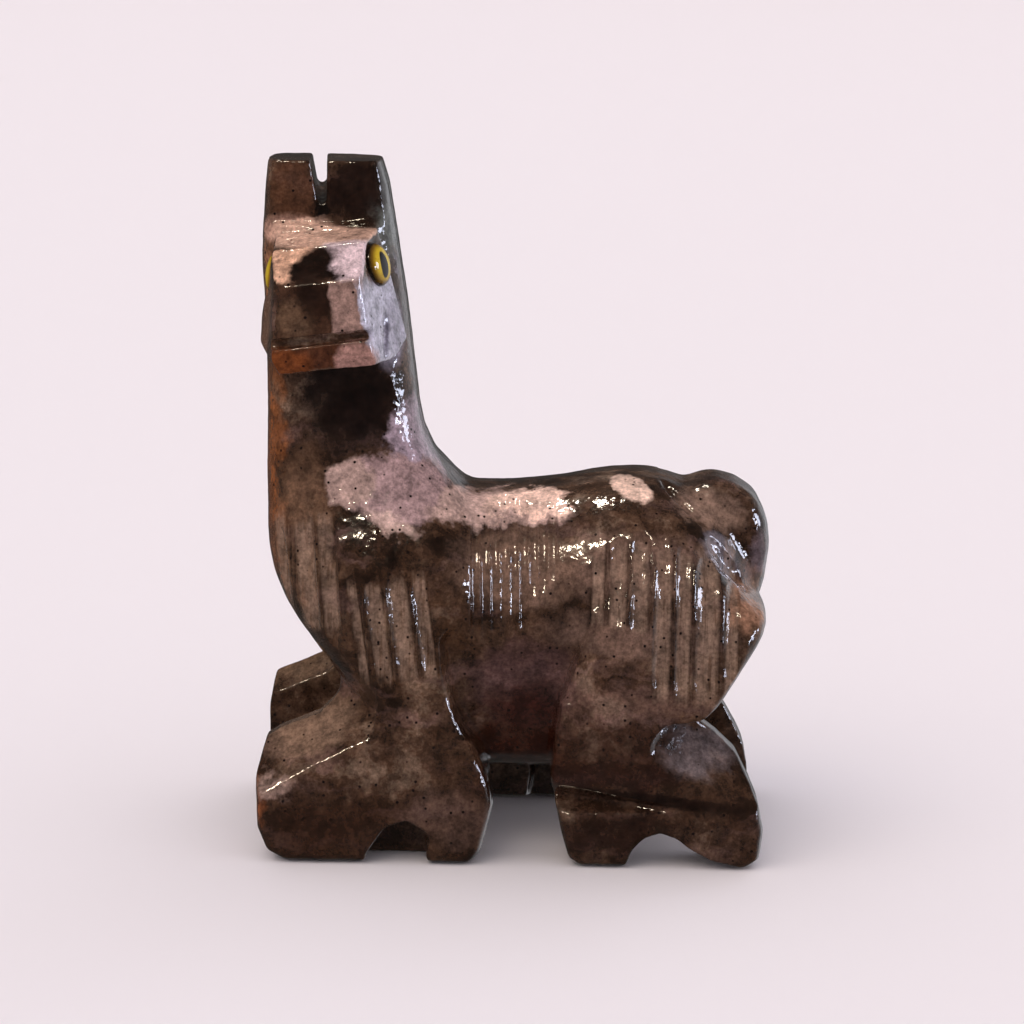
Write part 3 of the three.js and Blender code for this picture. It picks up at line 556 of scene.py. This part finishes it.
# Polished soapstone: dark brown ground, cloudy taupe and lilac veils, black specks, buffed with wax.
# Scales are per mm. Only the heights of the ripple and the pits are in metres.
stoneLook = {
    "clouds": ((0.36, "#1a100a"), (0.46, "#332318"), (0.55, "#4e3a2c"), (0.67, "#7f6a58")),
    "veil": "#6f5650",
    "veilStretch": (0.1, 0.1, 0.5),         # level veils, about 2 mm thick
    "scratchStretch": (5.0, 1.0, 0.35),     # upright scratches, 0.2 mm apart
    "broadDrift": {"scale": 0.55, "detail": 4.0, "reach": 3.2},
    "crispDrift": {"scale": 1.3, "detail": 3.0, "reach": 0.6},
    "curdling": {"scale": 0.85, "detail": 6.0, "darkest": 0.58, "lightest": 1.55},
    "grain": {"scale": 3.6, "detail": 3.0, "darkest": 0.72, "lightest": 1.3},
    "speck": "#150c09",
    "roughest": 0.3,
    "rippleHeight": 0.00009,
    "pitHeight": 0.000012,
    "finish": {
        "IOR": 1.56, "Specular IOR Level": 0.2, "Coat Weight": 1.0, "Coat Roughness": 0.05, "Coat IOR": 1.45},
}


def stoneMaterial():
    material, tree, shader = newMaterial("polishedSoapstone", stoneLook["finish"])
    objectPlace = addNode(tree, "ShaderNodeTexCoord").outputs["Object"]
    inMillimetres = addNode(tree, "ShaderNodeMapping", {"Vector": objectPlace, "Scale": (1000, 1000, 1000)})
    place = inMillimetres.outputs["Vector"]

    # Every place is pushed about by a millimetre or so, so that no marking has a drawn outline.
    wanderingPlace = wanderingFrom(tree, place, stoneLook["broadDrift"])

    # Clouds of four browns, 4 to 8 mm across, with finer curdling inside them.
    clouds = noiseAt(tree, wanderingPlace, 0.2, 7.0, 0.66).outputs["Fac"]
    colour = colourRamp(tree, clouds, stoneLook["clouds"])

    # Bedding veils run level through the block.
    bedding = addNode(tree, "ShaderNodeMapping", {
        "Vector": wanderingPlace, "Scale": stoneLook["veilStretch"]})
    veils = noiseAt(tree, bedding.outputs["Vector"], 1.0, 5.0, 0.6).outputs["Fac"]
    colour = mixColour(tree, levelRamp(tree, veils, 0.5, 0.72, 0.6), colour, linear(stoneLook["veil"]))

    # The file leaves fine upright scratches in the flutes; here they only break up the painted light and
    # shade of the flutes.
    upright = addNode(tree, "ShaderNodeMapping", {"Vector": place, "Scale": stoneLook["scratchStretch"]})
    streaks = noiseAt(tree, upright.outputs["Vector"], 1.0, 3.0, 0.6).outputs["Fac"]
    fileStreaks = levelRamp(tree, streaks, 0.2, 0.6, 0.72)

    # On the head the markings run straight, with edges that wander by only a quarter of a millimetre.
    steadyPlace = wanderingFrom(tree, place, stoneLook["crispDrift"])
    for marking in markings.values():
        _, y, z = marking["at"]
        steady = marking.get("steady", y < steadyFrom[0] and z > steadyFrom[1])
        mask = markingMask(tree, steadyPlace if steady else wanderingPlace, marking)
        colour = mixColour(tree, mask, colour, linear(marking["colour"]))
    # Painted light and shade in the flutes: light on their floors, shade in dark lines at their edges.
    colour = paintFluteShading(tree, place, wanderingPlace, colour, fileStreaks)

    # Curdled patches 1 mm across, then grain of 0.2 to 0.4 mm, lighten and darken all of it.
    for layer in (stoneLook["curdling"], stoneLook["grain"]):
        grain = noiseAt(tree, place, layer["scale"], layer["detail"], 0.7).outputs["Fac"]
        level = addNode(tree, "ShaderNodeMapRange", {
            "Value": grain, "From Min": 0.35, "From Max": 0.65,
            "To Min": layer["darkest"], "To Max": layer["lightest"]})
        colour = scaledBy(tree, colour, level.outputs["Result"])

    # Black mica specks up to 0.3 mm. Each cell draws a number, and half of the cells keep their speck.
    cells = addNode(tree, "ShaderNodeTexVoronoi", {"Vector": place, "Scale": 1.5, "Randomness": 1.0})
    speck = levelRamp(tree, cells.outputs["Distance"], 0.2, 0.1)
    drawn = addNode(tree, "ShaderNodeSeparateColor", {"Color": cells.outputs["Color"]})
    kept = levelRamp(tree, drawn.outputs["Red"], 0.48, 0.53)
    colour = mixColour(tree, mathNode(tree, "MULTIPLY", speck, kept), colour, linear(stoneLook["speck"]))
    tree.links.new(colour, shader.inputs["Base Color"])

    # The buffing is uneven: wax and fingerprints leave some places duller.
    dull = noiseAt(tree, place, 0.5, 4.0, 0.6).outputs["Fac"]
    tree.links.new(levelRamp(tree, dull, 0.1, 0.9, stoneLook["roughest"]), shader.inputs["Roughness"])

    # Grinding ripple, then pits finer than 0.3 mm: the eye sees them as broken highlights.
    ripple = noiseAt(tree, place, 1.1, 2.0, 0.45).outputs["Fac"]
    pits = noiseAt(tree, place, 4.0, 1.0, 0.5).outputs["Fac"]
    rippled = addNode(tree, "ShaderNodeBump", {
        "Height": ripple, "Distance": stoneLook["rippleHeight"], "Strength": 1.0})
    pitted = addNode(tree, "ShaderNodeBump", {
        "Height": pits, "Distance": stoneLook["pitHeight"], "Strength": 1.0,
        "Normal": rippled.outputs["Normal"]})
    tree.links.new(pitted.outputs["Normal"], shader.inputs["Normal"])
    tree.links.new(pitted.outputs["Normal"], shader.inputs["Coat Normal"])
    return material


stone = carveStone()
stone.data.materials.clear()
stone.data.materials.append(stoneMaterial())
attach(stone, "root")
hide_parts("llama_stone")
print("stone carved")


# The eyes: glass cabochons with a painted back, each cemented in its drilled socket.
def makeEye(name, spot):
    eye = cylinderBelow(eyeShape["radius"], eyeShape["seat"], eyeShape["sides"])
    eye.name = name
    applyModifier(eye, "BEVEL", width=eyeShape["seatBevel"], segments=3, limit_method="ANGLE")
    bpy.ops.mesh.primitive_uv_sphere_add(
        segments=eyeShape["sides"], ring_count=eyeShape["sides"] // 2,
        radius=eyeShape["radius"] - eyeShape["domeInset"])
    dome = bpy.context.object
    dome.scale = (1, 1, eyeShape["dome"] / eyeShape["radius"])
    settle(dome)
    combine(eye, dome, "UNION")
    moveToEye(eye, spot)
    settle(eye, mm)
    pickOnly(eye)
    bpy.ops.object.shade_smooth_by_angle(angle=math.radians(40))
    return eye


# Glass eye: yellow iris with dark streaks from the pupil, a slit pupil and a black painted rim.
# The slit is placed and sized in mm, as seen on the bead.
eyeLook = {
    "iris": ((0.2, "#f2d83c"), (0.7, "#cbae24"), (0.86, "#7d5d12"), (0.97, "#120c08")),
    "streak": "#6d4d12",
    "pupil": "#070504",
    "slitPlace": (-0.22, -0.1, 0),
    "slitSize": (0.5, 0.95, 1),
    "finish": {
        "Roughness": 0.25, "Specular IOR Level": 0.2, "Coat Weight": 0.7, "Coat Roughness": 0.02,
        "Coat IOR": 1.55},
}


def eyeMaterial(name, spot):
    material, tree, shader = newMaterial(name + "PaintedGlass", eyeLook["finish"])
    objectPlace = addNode(tree, "ShaderNodeTexCoord").outputs["Object"]
    local = addNode(tree, "ShaderNodeMapping", {
        "Vector": objectPlace, "Location": Vector(spot["centre"]) * mm,
        "Rotation": axesFor(spot["outward"]).to_euler(), "Scale": (mm, mm, mm)}, vector_type="TEXTURE")
    flat = vectorNode(tree, "MULTIPLY", local.outputs["Vector"], (1, 1, 0))
    fromCentre = mathNode(tree, "DIVIDE", lengthOf(tree, flat), eyeShape["radius"])
    iris = colourRamp(tree, fromCentre, eyeLook["iris"])
    streaks = noiseAt(tree, local.outputs["Vector"], 2.5, 4.0, 0.6).outputs["Fac"]
    iris = mixColour(tree, levelRamp(tree, streaks, 0.5, 0.75, 0.45), iris, linear(eyeLook["streak"]))
    slit = addNode(tree, "ShaderNodeMapping", {
        "Vector": flat, "Location": eyeLook["slitPlace"], "Scale": eyeLook["slitSize"]},
        vector_type="TEXTURE")
    pupil = levelRamp(tree, lengthOf(tree, slit.outputs["Vector"]), 1.08, 0.92)
    painted = mixColour(tree, pupil, iris, linear(eyeLook["pupil"]))
    tree.links.new(painted, shader.inputs["Base Color"])
    return material


for name, spot in eyePlaces.items():
    eye = makeEye(name, spot)
    eye.data.materials.clear()
    eye.data.materials.append(eyeMaterial(name, spot))
    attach(eye, "root")
    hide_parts(spot["node"])
print("eyes set")


# Camera: the photo's place, 230 mm from the figure and 11.5 degrees above it, turned one degree.
cameraView = {
    "distance": 230, "elevation": 11.5, "target": (-0.28, 0, 23.74), "roll": 1.0,
    "focalPixels": 3136, "framePixels": 1024, "sensor": 36, "clip": (0.01, 30),
}


def placeCamera():
    elevation = math.radians(cameraView["elevation"])
    back = Vector((0, -math.cos(elevation), math.sin(elevation)))
    bpy.ops.object.camera_add()
    camera = bpy.context.object
    camera.location = (Vector(cameraView["target"]) + back * cameraView["distance"]) * mm
    facing = (-back).to_track_quat("-Z", "Y").to_matrix().to_4x4()
    roll = Matrix.Rotation(math.radians(cameraView["roll"]), 4, "Z")
    camera.rotation_euler = (facing @ roll).to_euler()
    camera.data.sensor_width = cameraView["sensor"]
    camera.data.lens = cameraView["focalPixels"] / cameraView["framePixels"] * cameraView["sensor"]
    camera.data.clip_start, camera.data.clip_end = cameraView["clip"]
    bpy.context.scene.camera = camera


placeCamera()
print("camera placed")


# Light: distant lamps, so that the floor is equally bright everywhere. Each is the direction that it comes
# from, how large it looks from the figure in degrees, its power and its colour. A lamp for gloss is only
# seen mirrored in the polish, and one for shade only lights.
lampTable = {
    "warmKey": ((-0.55, -0.62, 0.9), 7, 1.1, "#ffe9cc", "gloss"),
    "warmShade": ((-0.55, -0.62, 0.9), 50, 0.7, "#ffe9d4", "shade"),
    "warmSecond": ((-0.2, -0.66, 0.95), 6, 0.7, "#ffeccf", "gloss"),
    "ceilingStrip": ((-0.2, 0.36, 0.9), 6, 0.6, "#fff1dc", "gloss"),
    "overhead": ((0.1, -0.1, 1.0), 150, 2.6, "#fdf4fb", "shade"),
    "windowLow": ((0.89, -0.44, 0.04), 6, 0.12, "#dfe6ff", "gloss"),
    "windowMiddle": ((0.89, -0.43, 0.16), 8, 0.5, "#e6ebff", "gloss"),
    "sideWindow": ((0.97, -0.1, 0.23), 18, 1.2, "#e2e8ff", "gloss"),
    "leftWindow": ((-0.9, -0.55, 0.28), 30, 0.25, "#f4efff", "shade"),
    "backFill": ((0.5, 0.8, 0.6), 30, 0.25, "#eef0ff", "shade"),
}


def addLamp(name, comesFrom, angle, power, colour, purpose):
    bpy.ops.object.light_add(type="SUN")
    light = bpy.context.object
    light.name = name
    light.data.energy = power
    light.data.angle = math.radians(angle)
    light.data.color = linear(colour)[:3]
    light.visible_glossy = purpose == "gloss"
    light.visible_diffuse = purpose == "shade"
    light.rotation_euler = (-Vector(comesFrom)).to_track_quat("-Z", "Y").to_euler()
    light.location = Vector(comesFrom).normalized()


for name, lamp in lampTable.items():
    addLamp(name, *lamp)
print("lamps lit")


# Floor and backdrop: one wide paper sweep, a round tray whose wall curves up out of the floor. In metres.
sweepShape = {"radius": 4, "height": 3, "bend": 1.2, "rim": 2.0, "sides": 128, "colour": "#ecebed"}


def paperSweep():
    bpy.ops.mesh.primitive_cylinder_add(
        vertices=sweepShape["sides"], radius=sweepShape["radius"], depth=sweepShape["height"],
        location=(0, 0, sweepShape["height"] / 2))
    sweep = bpy.context.object
    sweep.name = "paperSweep"
    settle(sweep)
    applyModifier(sweep, "BEVEL", width=sweepShape["bend"], segments=16, limit_method="ANGLE")
    bpy.ops.object.mode_set(mode="EDIT")
    bpy.ops.mesh.select_all(action="SELECT")
    bpy.ops.mesh.normals_make_consistent(inside=True)
    bpy.ops.mesh.select_mode(type="FACE")
    bpy.ops.mesh.select_all(action="DESELECT")
    bpy.ops.object.mode_set(mode="OBJECT")
    for face in sweep.data.polygons:
        face.select = face.center.z > sweepShape["rim"]
    bpy.ops.object.mode_set(mode="EDIT")
    bpy.ops.mesh.delete(type="FACE")
    bpy.ops.object.mode_set(mode="OBJECT")
    bpy.ops.object.shade_smooth()
    material, _, shader = newMaterial("matPaperSweep", {"Roughness": 0.95, "Specular IOR Level": 0.0})
    shader.inputs["Base Color"].default_value = linear(sweepShape["colour"])
    sweep.data.materials.append(material)
    sweep.visible_glossy = False
    return sweep


paperSweep()
print("paper laid")


# What the polished stone mirrors: a bright wall behind and to the right, a dim room everywhere else.
roomLight = {"towardsWall": (0.88, 0.47, 0.0), "wall": "#e4e4ea", "room": "#4a4745", "strength": 0.65}


def lightRoom():
    world = bpy.data.worlds.new("studioRoom")
    bpy.context.scene.world = world
    world.use_nodes = True
    tree = world.node_tree
    background = tree.nodes["Background"]
    lookingAt = addNode(tree, "ShaderNodeTexCoord").outputs["Generated"]
    facing = addNode(tree, "ShaderNodeVectorMath", {
        0: lookingAt, 1: roomLight["towardsWall"]}, operation="DOT_PRODUCT")
    aside = levelRamp(tree, facing.outputs["Value"], 0.5, 0.85)
    height = addNode(tree, "ShaderNodeSeparateXYZ", {"Vector": lookingAt}).outputs["Z"]
    wall = mathNode(tree, "MULTIPLY", aside, levelRamp(tree, height, 0.5, 0.15))
    mirrored = mixColour(tree, wall, linear(roomLight["room"]), linear(roomLight["wall"]))
    tree.links.new(mirrored, background.inputs["Color"])
    background.inputs["Strength"].default_value = roomLight["strength"]
    bpy.context.scene.view_settings.view_transform = "Standard"


lightRoom()
print("room lit")
